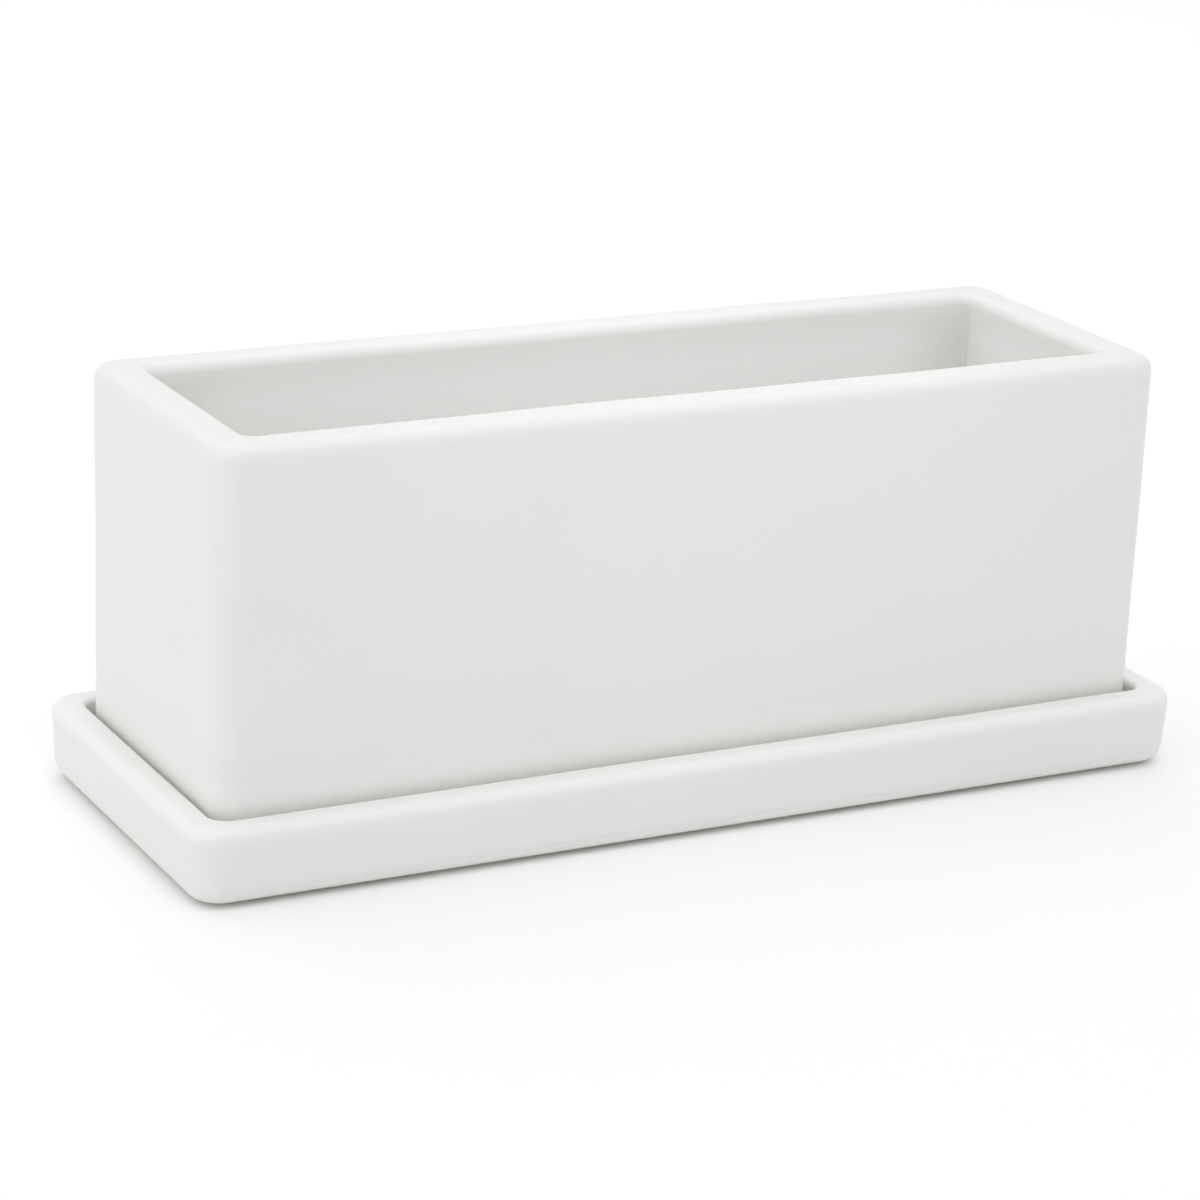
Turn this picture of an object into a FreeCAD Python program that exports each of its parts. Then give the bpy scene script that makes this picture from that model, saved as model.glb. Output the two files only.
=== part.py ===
import FreeCAD, Part
import math
import os
import Sketcher

# Windowsill herb planter: a long glazed trough with drain holes stands in a matching saucer.
# Mesh screens lie over the holes, and rubber pads under the saucer keep it off the sill.
# Frame: millimetres, origin on the sill under the middle of the saucer, X along the trough,
# Y from front to back, Z up.

SIZES = {
    # The pot, a slip-cast trough with leaning walls
    "pot_length": (300.0, "over the rim, along X"),
    "pot_width": (100.0, "over the rim, along Y"),
    "pot_height": (120.5, "from its foot to the rim"),
    "pot_lean": (0.4, "how far each outer wall leans out from foot to rim"),
    "pot_wall": (13.0, "wall at the rim"),
    "pot_floor": (10.0, "thickness of the floor, foot included"),
    "pot_corner": (7.5, "upright outer corners"),
    "pot_base_round": (5.0, "round under the walls"),
    "pot_inner_lean": (0.6, "how far each inner wall leans out from floor to rim"),
    "pot_cove": (6.0, "hollow round between inner walls and floor"),
    "pot_corner_gain": (1.0, "how much wider than the cove the upright inner corners are rounded"),
    "pot_rim_outer": (4.5, "round on the outer edge of the rim"),
    "pot_rim_inner": (3.5, "round on the inner edge of the rim"),
    "pot_land": (9.0, "width of the flat foot ring that the pot stands on"),
    "pot_recess": (2.5, "how far the underside is hollowed inside the foot ring"),
    "pot_recess_corner": (6.0, "corners of that hollow"),
    "notch_width": (16.0, "water notch through the foot ring"),
    "notch_height": (2.0, "water notch above the foot"),
    "notch_inset": (75.0, "from each end of the rim to the middle of a notch in a long side"),
    "drain_hole": (12.0, "diameter of a drain hole"),
    "drain_inset": (60.0, "from each end of the rim to the middle of the nearest drain hole"),
    "drain_bevel": (1.2, "bevel where a hole meets the floor"),
    # The saucer, a shallow tray that is sized from the pot
    "end_gap": (2.0, "between pot rim and saucer rim, at each end"),
    "side_gap": (3.0, "between pot rim and saucer rim, at front and back"),
    "saucer_height": (22.5, "from its own foot to the rim"),
    "saucer_lean": (1.0, "how far each outer wall leans out from foot to rim"),
    "saucer_wall": (8.0, "wall at the rim"),
    "saucer_floor": (5.0, "thickness of the floor, foot included"),
    "saucer_corner": (10.0, "upright outer corners"),
    "saucer_base_round": (4.5, "round under the walls"),
    "saucer_inner_lean": (0.6, "how far each inner wall leans out from floor to rim"),
    "saucer_cove": (4.0, "hollow round between inner walls and floor"),
    "saucer_corner_gain": (1.0, "how much wider than the cove the upright inner corners are rounded"),
    "saucer_rim_outer": (3.5, "round on the outer edge of the rim"),
    "saucer_rim_inner": (3.0, "round on the inner edge of the rim"),
    "saucer_land": (9.0, "width of the saucer's foot ring"),
    "saucer_recess": (1.2, "how far the underside is hollowed inside the foot ring"),
    "saucer_recess_corner": (6.0, "corners of that hollow"),
    # The rubber pads, stuck into the hollow under the saucer
    "pad_diameter": (12.0, "round stick-on pad"),
    "pad_stand": (1.0, "how far a pad stands out below the saucer's foot"),
    "pad_bevel": (0.8, "bevel on a pad's lower edge"),
    "pad_margin": (3.0, "between a pad and the edge of the hollow"),
    # The mesh screens, plastic discs that lie on the pot's floor
    "screen_diameter": (36.0, "screen over its rim"),
    "screen_thickness": (0.9, "screen sheet"),
    "screen_rim": (1.4, "plain edge outside the openings"),
    "mesh_opening": (3.0, "side of a square opening"),
    "mesh_strand": (1.2, "strand between two openings"),
    # Shared by every cut through a wall
    "overrun": (5.0, "how far a cut runs on past the solid"),
}

NEAR = Part.Precision.approximation()
SCREEN_SIDES = {"left": -1, "middle": 0, "right": 1}
PAD_SIGNS = {"front_left": (-1, -1), "front_right": (1, -1), "back_left": (-1, 1), "back_right": (1, 1)}

POT_SEAT = "sizes.pad_stand + sizes.saucer_floor"
NOTCH_REACH = "sizes.pot_length / 2 - sizes.notch_inset"
DRAIN_REACH = "sizes.pot_length / 2 - sizes.drain_inset"
SAUCER_LENGTH = "sizes.pot_length + 2 * (sizes.end_gap + sizes.saucer_wall)"
SAUCER_WIDTH = "sizes.pot_width + 2 * (sizes.side_gap + sizes.saucer_wall)"

doc = FreeCAD.newDocument("herb_planter")
sheet = doc.addObject("Spreadsheet::Sheet", "sizes")
for row, (alias, (number, note)) in enumerate(SIZES.items(), start=1):
    sheet.set(f"A{row}", alias)
    sheet.set(f"B{row}", str(number))
    sheet.set(f"C{row}", note)
    sheet.setAlias(f"B{row}", alias)
doc.recompute()


def size(alias):
    """The sheet's value under this name, in millimetres."""
    return float(sheet.get(alias))


def new_body(name):
    """An empty body whose label is the sub-part's name."""
    body = doc.addObject("PartDesign::Body", name)
    body.Label = name
    return body


def new_feature(body, kind, name, **settings):
    """A feature at the end of a body, with its properties set."""
    feature = body.newObject(f"PartDesign::{kind}", f"{body.Label}_{name}")
    for key, setting in settings.items():
        setattr(feature, key, setting)
    body.Tip = feature
    return feature


def sketch_on(body, name, level="0", along="0"):
    """A sketch on the body's own XY plane, raised to a level and moved along X by expressions."""
    plane = next(p for p in body.Origin.OriginFeatures if p.Role == "XY_Plane")
    sketch = body.newObject("Sketcher::SketchObject", f"{body.Label}_{name}")
    sketch.AttachmentSupport = [(plane, "")]
    sketch.MapMode = "FlatFace"
    sketch.setExpression("AttachmentOffset.Base.x", along)
    sketch.setExpression("AttachmentOffset.Base.z", level)
    return sketch


def drive(sketch, name, expression, kind, *where):
    """Add a dimension to a sketch under a name and bind it to an expression."""
    start = sketch.evalExpression(expression)
    index = sketch.addConstraint(Sketcher.Constraint(kind, *where, start))
    sketch.renameConstraint(index, name)
    sketch.setExpression(f"Constraints.{name}", expression)


def outline(sketch, length, width, corner=None):
    """Draw a rectangle centred on the sketch's origin, with an arc at each corner if asked."""
    radius = sketch.evalExpression(corner) if corner else 0.0
    hub_x = sketch.evalExpression(length) / 2 - radius
    hub_y = sketch.evalExpression(width) / 2 - radius
    hubs = [FreeCAD.Vector(sx * hub_x, sy * hub_y) for sx, sy in ((1, -1), (1, 1), (-1, 1), (-1, -1))]
    outward = [FreeCAD.Vector(dx, dy) for dx, dy in ((0, -1), (1, 0), (0, 1), (-1, 0))]
    sides = []
    for i in range(4):
        shift = outward[i] * radius
        sides.append(sketch.addGeometry(Part.LineSegment(hubs[i - 1] + shift, hubs[i] + shift), False))
    for i in (0, 2):
        sketch.addConstraint(Sketcher.Constraint("Horizontal", sides[i]))
        sketch.addConstraint(Sketcher.Constraint("Vertical", sides[i + 1]))
    if corner:
        arcs = corner_arcs(sketch, sides, hubs, outward, radius)
        drive(sketch, "corner", corner, "Radius", arcs[0])
        sketch.addConstraint(Sketcher.Constraint("Symmetric", arcs[0], 3, arcs[2], 3, -1, 1))
    else:
        for i in range(4):
            sketch.addConstraint(Sketcher.Constraint("Coincident", sides[i - 1], 2, sides[i], 1))
        sketch.addConstraint(Sketcher.Constraint("Symmetric", sides[0], 1, sides[2], 1, -1, 1))
    drive(sketch, "length", length, "DistanceX", sides[3], 1, sides[1], 1)
    drive(sketch, "width", width, "DistanceY", sides[0], 1, sides[2], 1)


def corner_arcs(sketch, sides, hubs, outward, radius):
    """Join four sides by tangent arcs of one radius, each around its hub."""
    arcs = []
    for i in range(4):
        following = outward[(i + 1) % 4]
        middle = hubs[i] + (outward[i] + following).normalize() * radius
        arc = Part.Arc(hubs[i] + outward[i] * radius, middle, hubs[i] + following * radius)
        arcs.append(sketch.addGeometry(arc, False))
    for i in range(4):
        sketch.addConstraint(Sketcher.Constraint("Tangent", sides[i], 2, arcs[i], 1))
        sketch.addConstraint(Sketcher.Constraint("Tangent", arcs[i - 1], 2, sides[i], 1))
        if i:
            sketch.addConstraint(Sketcher.Constraint("Equal", arcs[0], arcs[i]))
    return arcs


def disc(sketch, diameter):
    """Draw a circle on the sketch's origin."""
    radius = sketch.evalExpression(diameter) / 2
    ring = sketch.addGeometry(Part.Circle(FreeCAD.Vector(), FreeCAD.Vector(0, 0, 1), radius), False)
    sketch.addConstraint(Sketcher.Constraint("Coincident", ring, 3, -1, 1))
    drive(sketch, "diameter", diameter, "Diameter", ring)


def is_level(shape, level):
    """True for an edge or face that lies flat at this height."""
    return all(abs(corner.Z - level) < NEAR for corner in shape.Vertexes)


def is_upright(shape):
    """True for an edge or face that climbs."""
    heights = [corner.Z for corner in shape.Vertexes]
    return max(heights) - min(heights) > NEAR


def is_straight(edge):
    """True for an edge along a line."""
    return isinstance(edge.Curve, Part.Line)


def side_test(body, wall, inner):
    """A test for edges and faces on the cavity's side of the walls' middle line, or outside it."""
    box = body.Tip.Shape.BoundBox
    half_x = (box.XLength - size(wall)) / 2
    half_y = (box.YLength - size(wall)) / 2
    return lambda shape: is_within(shape.CenterOfMass, half_x, half_y) == inner


def is_within(point, half_x, half_y):
    """True for a point inside a rectangle around the origin, seen from above."""
    return abs(point.x) < half_x and abs(point.y) < half_y


def names_where(feature, kind, wanted):
    """The names of a feature's edges or faces that a test accepts."""
    shapes = getattr(feature.Shape, f"{kind}s")
    return [f"{kind}{i}" for i, shape in enumerate(shapes, start=1) if wanted(shape)]


def lean_walls(body, name, wall, inner, rim, lean, depth):
    """Tilt the four walls about the rim, so that the block or its cavity narrows downwards."""
    on_side = side_test(body, wall, inner)
    walls = names_where(body.Tip, "Face", lambda face: is_upright(face) and on_side(face))
    plane = names_where(body.Tip, "Face", lambda face: is_level(face, rim))
    draft = new_feature(body, "Draft", name, Base=(body.Tip, walls), NeutralPlane=(body.Tip, plane))
    draft.Reversed = not inner
    draft.setExpression("Angle", f"atan(sizes.{lean} / ({depth}))")
    doc.recompute()


def round_edges(body, name, radius, wanted):
    """Round the edges of the body's last feature that a test accepts, by a radius given as an expression."""
    edges = names_where(body.Tip, "Edge", wanted)
    fillet = new_feature(body, "Fillet", name, Base=(body.Tip, edges))
    fillet.setExpression("Radius", radius)
    doc.recompute()


def bevel_edges(body, name, width, wanted):
    """Bevel the edges of the body's last feature that a test accepts, by a width from the sheet."""
    edges = names_where(body.Tip, "Edge", wanted)
    chamfer = new_feature(body, "Chamfer", name, Base=(body.Tip, edges))
    chamfer.setExpression("Size", f"sizes.{width}")
    doc.recompute()


def round_uprights(body, name, wall, inner, radius):
    """Round the four upright corners of the block or of its cavity."""
    on_side = side_test(body, wall, inner)
    round_edges(body, name, radius, lambda edge: is_upright(edge) and on_side(edge))


def round_ring(body, name, wall, inner, level, radius):
    """Round the closed ring at one level: its four straight edges, and the arcs that run on from them."""
    on_side = side_test(body, wall, inner)
    round_edges(
        body, name, radius,
        lambda edge: is_straight(edge) and is_level(edge, level) and on_side(edge),
    )


def cut(body, name, sketch, depth, upwards=True):
    """Cut a sketch up or down into the body, and make sure that it took material away."""
    doc.recompute()
    before = body.Tip.Shape.Volume
    pocket = new_feature(body, "Pocket", name, Profile=sketch, Type="Length", Reversed=upwards)
    pocket.setExpression("Length", depth)
    doc.recompute()
    if not pocket.Shape.Volume < before:
        raise RuntimeError(f"{pocket.Name} cuts nothing")
    return pocket


def recess_span(name, span):
    """The length or width of the hollow under a vessel, inside its foot ring."""
    return f"{span} - 2 * (sizes.{name}_lean + sizes.{name}_base_round + sizes.{name}_land)"


def cast_vessel(name, length, width):
    """A ceramic vessel as it leaves its mould: leaning walls, rolled rim and a foot ring below."""
    wall = f"{name}_wall"
    height = f"sizes.{name}_height"
    depth = f"{height} - sizes.{name}_floor"
    inner_corner = f"sizes.{name}_cove + sizes.{name}_corner_gain"
    rim = size(f"{name}_height")
    body = new_body(name)
    plan = sketch_on(body, "plan")
    outline(plan, length, width)
    block = new_feature(body, "Pad", "block", Profile=plan, Type="Length")
    block.setExpression("Length", height)
    doc.recompute()
    lean_walls(body, "outer_lean", wall, False, rim, f"{name}_lean", height)
    mouth = sketch_on(body, "mouth", level=height)
    outline(mouth, f"{length} - 2 * sizes.{wall}", f"{width} - 2 * sizes.{wall}")
    cut(body, "cavity", mouth, depth, upwards=False)
    lean_walls(body, "inner_lean", wall, True, rim, f"{name}_inner_lean", depth)
    round_uprights(body, "corners", wall, False, f"sizes.{name}_corner")
    round_uprights(body, "inner_corners", wall, True, inner_corner)
    round_ring(body, "base_round", wall, False, 0.0, f"sizes.{name}_base_round")
    round_ring(body, "cove", wall, True, size(f"{name}_floor"), f"sizes.{name}_cove")
    round_ring(body, "rim_outer", wall, False, rim, f"sizes.{name}_rim_outer")
    round_ring(body, "rim_inner", wall, True, rim, f"sizes.{name}_rim_inner")
    recess = sketch_on(body, "recess_outline")
    outline(recess, recess_span(name, length), recess_span(name, width), f"sizes.{name}_recess_corner")
    cut(body, "recess", recess, f"sizes.{name}_recess")
    return body


def make_pot():
    """The trough, with water notches through its foot ring and drain holes through its floor."""
    body = cast_vessel("pot", "sizes.pot_length", "sizes.pot_width")
    ends = sketch_on(body, "end_notches")
    outline(ends, "sizes.pot_length + sizes.overrun", "sizes.notch_width")
    cut(body, "end_cut", ends, "sizes.notch_height")
    sides = sketch_on(body, "side_notches", along=f"-({NOTCH_REACH})")
    outline(sides, "sizes.notch_width", "sizes.pot_width + sizes.overrun")
    side_cut = cut(body, "side_cut", sides, "sizes.notch_height")
    mirror = next(p for p in body.Origin.OriginFeatures if p.Role == "YZ_Plane")
    new_feature(body, "Mirrored", "side_cuts", Originals=[side_cut], MirrorPlane=(mirror, [""]))
    hole = sketch_on(body, "drain_hole", along=f"-({DRAIN_REACH})")
    disc(hole, "sizes.drain_hole")
    drill = cut(body, "drain_cut", hole, "sizes.pot_floor + sizes.overrun")
    holes = new_feature(body, "LinearPattern", "drain_cuts", Originals=[drill], Direction=(hole, ["H_Axis"]))
    holes.setExpression("Length", f"2 * ({DRAIN_REACH})")
    holes.Occurrences = len(SCREEN_SIDES)
    doc.recompute()
    floor = size("pot_floor")
    bevel_edges(body, "drain_mouths", "drain_bevel", lambda edge: edge.isClosed() and is_level(edge, floor))
    body.setExpression("Placement.Base.z", POT_SEAT)
    return body


def make_saucer():
    """The tray under the pot, raised off the sill by its pads."""
    body = cast_vessel("saucer", SAUCER_LENGTH, SAUCER_WIDTH)
    body.setExpression("Placement.Base.z", "sizes.pad_stand")
    return body


def make_pad(corner, sign_x, sign_y):
    """A round rubber pad, stuck into one corner of the hollow under the saucer."""
    body = new_body(f"saucer_pad_{corner}")
    sole = sketch_on(body, "sole")
    disc(sole, "sizes.pad_diameter")
    button = new_feature(body, "Pad", "button", Profile=sole, Type="Length")
    button.setExpression("Length", "sizes.pad_stand + sizes.saucer_recess")
    doc.recompute()
    bevel_edges(body, "edge", "pad_bevel", lambda edge: is_level(edge, 0.0))
    inset = "sizes.pad_margin + sizes.pad_diameter / 2"
    reach_x = f"({recess_span('saucer', SAUCER_LENGTH)}) / 2 - ({inset})"
    reach_y = f"({recess_span('saucer', SAUCER_WIDTH)}) / 2 - ({inset})"
    body.setExpression("Placement.Base.x", f"{sign_x} * ({reach_x})")
    body.setExpression("Placement.Base.y", f"{sign_y} * ({reach_y})")
    return body


def make_screen(name, side):
    """A mesh disc over the drain hole on side -1, 0 or 1: every square opening that fits inside its rim."""
    upright = FreeCAD.Vector(0, 0, 1)
    radius = size("screen_diameter") / 2
    pitch = size("mesh_opening") + size("mesh_strand")
    half = size("mesh_opening") / 2
    open_radius = radius - size("screen_rim")
    count = int(open_radius / pitch)
    wires = [Part.Wire(Part.Circle(FreeCAD.Vector(), upright, radius).toShape())]
    for column in range(-count, count + 1):
        for line in range(-count, count + 1):
            x, y = column * pitch, line * pitch
            if math.hypot(abs(x) + half, abs(y) + half) <= open_radius:
                square = Part.makePlane(2 * half, 2 * half, FreeCAD.Vector(x - half, y - half))
                wires.append(square.OuterWire)
    sheet_face = Part.makeFace(wires, "Part::FaceMakerBullseye")
    screen = doc.addObject("Part::Feature", f"drain_screen_{name}")
    screen.Shape = sheet_face.extrude(upright * size("screen_thickness"))
    floor = screen.evalExpression(f"{POT_SEAT} + sizes.pot_floor")
    place = FreeCAD.Vector(side * screen.evalExpression(DRAIN_REACH), 0, floor)
    screen.Placement = FreeCAD.Placement(place, FreeCAD.Rotation())
    return screen


parts = [make_saucer(), make_pot()]
parts += [make_pad(corner, *signs) for corner, signs in PAD_SIGNS.items()]
parts += [make_screen(name, side) for name, side in SCREEN_SIDES.items()]
doc.recompute()

failed = [o.Name for o in doc.Objects if {"Invalid", "Error"} & set(o.State)]
failed += [p.Label for p in parts if p.Shape.isNull() or not p.Shape.isValid() or len(p.Shape.Solids) != 1]
if failed:
    raise RuntimeError(f"failed objects: {failed}")

os.makedirs("parts", exist_ok=True)
for part in parts:
    part.Shape.exportStep(f"parts/{part.Label}.step")
    print(part.Label, f"{part.Shape.Volume:.1f} mm3", part.Shape.BoundBox)
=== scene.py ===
"""A long white glazed herb planter in its saucer, with mesh screens and rubber pads, on a pale floor."""

import math

import bmesh
import bpy
import numpy as np
from bpy.props import FloatProperty, FloatVectorProperty, IntProperty, PointerProperty
from mathutils import Matrix, Vector


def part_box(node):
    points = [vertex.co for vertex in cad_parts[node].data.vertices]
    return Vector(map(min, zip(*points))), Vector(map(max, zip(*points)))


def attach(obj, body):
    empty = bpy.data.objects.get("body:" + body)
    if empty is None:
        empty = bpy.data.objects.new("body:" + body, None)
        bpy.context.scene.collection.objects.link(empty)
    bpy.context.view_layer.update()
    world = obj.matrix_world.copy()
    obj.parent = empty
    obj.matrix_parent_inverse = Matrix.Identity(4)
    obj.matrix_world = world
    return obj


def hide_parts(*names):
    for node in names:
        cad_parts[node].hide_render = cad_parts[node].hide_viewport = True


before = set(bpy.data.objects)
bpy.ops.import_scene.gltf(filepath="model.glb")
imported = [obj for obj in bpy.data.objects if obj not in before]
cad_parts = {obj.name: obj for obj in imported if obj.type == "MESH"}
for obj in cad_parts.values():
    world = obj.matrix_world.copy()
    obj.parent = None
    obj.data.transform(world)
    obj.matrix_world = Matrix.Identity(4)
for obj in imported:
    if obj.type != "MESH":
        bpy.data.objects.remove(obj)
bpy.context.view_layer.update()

bl_info = {
    "name": "Herb planter",
    "version": (1, 0, 0),
    "blender": (4, 5, 0),
    "location": "3D View > Sidebar > Planter",
    "description": "Makes a glazed trough, its saucer, drain screens and pads, and a studio stage",
    "category": "Add Mesh",
}

# How finely the surfaces are divided
ARC_STEPS = 9
CORNER_STEPS = 12
BRIDGE_STEPS = 4
WALL_STEPS = 30
FLAT_STEPS = 4
LINE_SPACING = 0.0027
NOTCH_LINES = 7
HOLE_LINES = 17
TILE_STEPS = 24
STRAND_STEPS = 8
SCREEN_RIM_STEPS = 4
SOLE_STEPS = 4
PAD_EDGE_STEPS = 6
ROUND_STEPS = 72
FLOOR_STEPS = 8

# How close two points are one, the decimals that places are kept to, and the turn that makes an edge sharp
MERGE_DISTANCE = 2e-7
PLACE_DECIMALS = 9
TILE_DECIMALS = 7
NEARLY_ONE = 1 - 1e-9
SHARP_ANGLE = math.radians(38)

# The long waves of fired ware along x, y and z. Each row is a sine: its strength, how fast it turns across,
# along and up the piece, and where it starts
WAVES = (
    ((0.6, 0.0, 2.1, 9.0, 0.7), (0.4, -1.3, 0.0, 17.0, 2.0)),
    ((0.6, 5.3, 1.6, 2.4, 0.0), (0.4, 11.0, -2.0, 0.0, 4.0)),
    ((0.6, 6.1, 1.2, 0.0, 1.0), (0.4, 13.0, 2.3, 0.0, 3.0)),
)

# Run of a notch's side over the notch's height, and half side of the square left open for a drain hole over
# the hole's diameter
NOTCH_SLOPE = 0.8
HOLE_SQUARE = 0.9

# Power of the superellipse that rounds the corners of a mesh opening
OPENING_POWER = 8

# The numbers of a mix node's sockets, by what it mixes: its factor, the two that it mixes, and the result
MIX_SOCKETS = {"RGBA": (0, 6, 7, 2), "FLOAT": (0, 2, 3, 0)}

# How often the tone drifts and the surface ripples, per metre
GLAZE_SCALES = (14.0, 620.0)
PLASTIC_SCALES = (90.0, 2600.0)
RUBBER_SCALES = (220.0, 3200.0)

# The noise behind the unevenness: its detail and roughness, the flecks' scale over the ripple's, and the
# range of the noise that is spread from nothing to all
DRIFT_NOISE = {"Detail": 3.0, "Roughness": 0.55}
RIPPLE_NOISE = {"Detail": 2.0, "Roughness": 0.5}
FLECK_SCALE = 0.35
DRIFT_RANGE = (0.32, 0.68)
FLECK_RANGE = (0.3, 0.7)

# Bends between which the painted shade of a hollow starts and is full, where the wiped foot's edge starts
# over its height, how rough bare clay is, how dark its flecks are, and how far the sheen strays
HOLLOW_BENDS = (-0.1, -0.7)
WIPED_EDGE = 1.3
CLAY_ROUGHNESS = 0.85
CLAY_FLECK = 0.88
SATIN_STRAY = 0.03

# How dark the tone of a moulded piece drifts, and how far its sheen strays
MOULDED_DRIFT = 0.82
MOULDED_STRAY = 0.07

# Where the lights stand, as their turn from the front to the right and their rise, in degrees like the fill's
# spread. Distances and sizes are in metres
LEFT_BOX_WAY = (-90.0, 15.0)
BACK_BOX_WAY = (180.0, 60.0)
FILL_BOX_WAY = (0.0, 65.0)
BOX_DISTANCE = 2.5
BOX_SIZE = (1.6, 1.6)
FILL_DISTANCE = 0.8
FILL_SPREAD = 24.0

# How steeply the sky grows brighter towards the point straight above, as a power of the height
ZENITH_POWER = 3.0

# Width of the camera's sensor in millimetres
SENSOR_WIDTH = 36.0

SCREENS = {"left": -1, "middle": 0, "right": 1}
PADS = ("front_left", "front_right", "back_left", "back_right")


def length(name, default, description):
    """A length in metres that a user can set."""
    return FloatProperty(
        name=name, description=description, default=default, min=0.0, unit="LENGTH", precision=4
    )


def share(name, default, description):
    """A share from nothing to all."""
    return FloatProperty(
        name=name, description=description, default=default, min=0.0, max=1.0, subtype="FACTOR"
    )


def angle(name, degrees, description):
    """An angle, given in degrees."""
    return FloatProperty(
        name=name, description=description, default=math.radians(degrees), subtype="ANGLE", unit="ROTATION"
    )


def tint(name, default, description):
    """A colour, in linear light."""
    return FloatVectorProperty(
        name=name, description=description, default=default, min=0.0, max=1.0, size=3, subtype="COLOR"
    )


def strength(name, default, description):
    """How bright a light is."""
    return FloatProperty(name=name, description=description, default=default, min=0.0)


class PotSettings(bpy.types.PropertyGroup):
    """Sizes of the trough."""

    wall: length("Wall", 0.013, "Thickness of the wall at the rim")
    floor: length("Floor", 0.010, "Thickness of the floor, with the foot")
    lean: length("Lean", 0.0004, "How far an outer wall leans out from foot to rim")
    inner_lean: length("Inner lean", 0.0006, "How far an inner wall leans out from floor to rim")
    corner: length("Corner", 0.0075, "Radius of the upright outer corners")
    inner_corner: length("Inner corner", 0.0025, "Radius of the upright inner corners")
    rim_outer: length("Outer rim", 0.0045, "Round on the outer edge of the rim")
    rim_inner: length("Inner rim", 0.0035, "Round on the inner edge of the rim")
    base_round: length("Base", 0.005, "Round under the walls")
    cove: length("Cove", 0.0022, "Hollow round between the inner walls and the floor")
    land: length("Land", 0.009, "Width of the foot ring")
    recess: length("Recess", 0.0025, "How far the underside is hollowed")
    recess_corner: length("Recess corner", 0.006, "Corners of the hollow underneath")
    soft_edge: length("Soft edge", 0.0005, "Round on the edges of the hollow underneath")
    notch_width: length("Notch width", 0.016, "Water notch through the foot ring")
    notch_height: length("Notch height", 0.002, "Water notch above the foot")
    notch_inset: length("Notch inset", 0.075, "From the end of the rim to a notch in a long side")
    drain_hole: length("Drain hole", 0.012, "Diameter of a drain hole")
    drain_inset: length("Drain inset", 0.060, "From the end of the rim to the nearest drain hole")
    drain_lip: length("Drain lip", 0.0012, "Round where a hole meets the floor")
    sway: length("Sway", 0.0003, "How far the rim strays from true, as fired ware does")
    # Painted light: how much lighter the tone is over the rim, a painted highlight
    rim_light_share: share("Thinning", 0.12, "How thin the glaze runs over the rim")
    # Painted light: the outer wall is lightened low down, against the shade near the saucer, from this height
    # down over the fade and by the share below
    foot_light_top: length("Run top", 0.030, "Height above the foot at which glaze that ran down starts to show")
    foot_light_fade: length("Run fade", 0.013, "How far down from there it takes to reach its full thickness")
    foot_light_share: share("Run", 0.75, "How much of the glaze ran down")
    # Painted light: how far the inside takes the lighter inner tone, standing in for light in the shaded
    # trough
    inner_painted_light: share("Poured", 1.0, "How much thicker the glaze is inside")
    # Painted shade: how far from an end the corners of a long inner wall are darkened
    corner_shade_reach: length("Corner pool", 0.030, "How far from a corner glaze has gathered on a long inner wall")


class SaucerSettings(bpy.types.PropertyGroup):
    """Sizes of the tray under the trough."""

    wall: length("Wall", 0.0088, "Thickness of the wall at the rim")
    floor: length("Floor", 0.005, "Thickness of the floor, with the foot")
    lean: length("Lean", 0.001, "How far an outer wall leans out from foot to rim")
    inner_lean: length("Inner lean", 0.0006, "How far an inner wall leans out from floor to rim")
    corner: length("Corner", 0.010, "Radius of the upright outer corners")
    inner_corner: length("Inner corner", 0.005, "Radius of the upright inner corners")
    rim_outer: length("Outer rim", 0.0035, "Round on the outer edge of the rim")
    rim_inner: length("Inner rim", 0.0018, "Round on the inner edge of the rim")
    base_round: length("Base", 0.0045, "Round under the walls")
    cove: length("Cove", 0.004, "Hollow round between the inner walls and the floor")
    land: length("Land", 0.009, "Width of the foot ring")
    recess: length("Recess", 0.0012, "How far the underside is hollowed")
    recess_corner: length("Recess corner", 0.006, "Corners of the hollow underneath")
    soft_edge: length("Soft edge", 0.0004, "Round on the edges of the hollow underneath")
    sway: length("Sway", 0.0002, "How far the rim strays from true, as fired ware does")
    # Painted light: how much lighter the tone is over the rim, a painted highlight
    rim_light_share: share("Thinning", 1.0, "How thin the glaze runs over the rim")
    # Painted light: the outer wall is lightened low down, against the shade near the floor, from this height
    # down over the fade and by the share below
    foot_light_top: length("Run top", 0.012, "Height above the foot at which glaze that ran down starts to show")
    foot_light_fade: length("Run fade", 0.006, "How far down from there it takes to reach its full thickness")
    foot_light_share: share("Run", 0.0, "How much of the glaze ran down")
    # Painted light: how far the inside takes the lighter inner tone, standing in for light in the shaded
    # hollow
    inner_painted_light: share("Poured", 0.0, "How much thicker the glaze is inside")
    # Painted shade: how far from an end the corners of a long inner wall are darkened
    corner_shade_reach: length("Corner pool", 0.006, "How far from a corner glaze has gathered on a long inner wall")


class ScreenSettings(bpy.types.PropertyGroup):
    """Sizes and finish of the mesh screens."""

    rim: length("Rim", 0.0014, "Plain edge outside the openings")
    opening: length("Opening", 0.003, "Side of a square opening")
    strand: length("Strand", 0.0012, "Strand between two openings")
    edge_round: length("Edge round", 0.0003, "Round on the outer edge")
    seat_gap: length("Seat gap", 0.00003, "Hair of room under a screen, where it lies on uneven glaze")
    squareness: FloatProperty(
        name="Squareness", description="From a round strand at 2 to a square one above", default=2.8, min=2.0
    )
    tone: tint("Plastic", (0.045, 0.048, 0.048), "Moulded plastic of the screens")
    roughness: share("Roughness", 0.5, "Sheen of the plastic, from polished to matte")
    grain: length("Grain", 0.000006, "Height of the plastic's fine grain")


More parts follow.
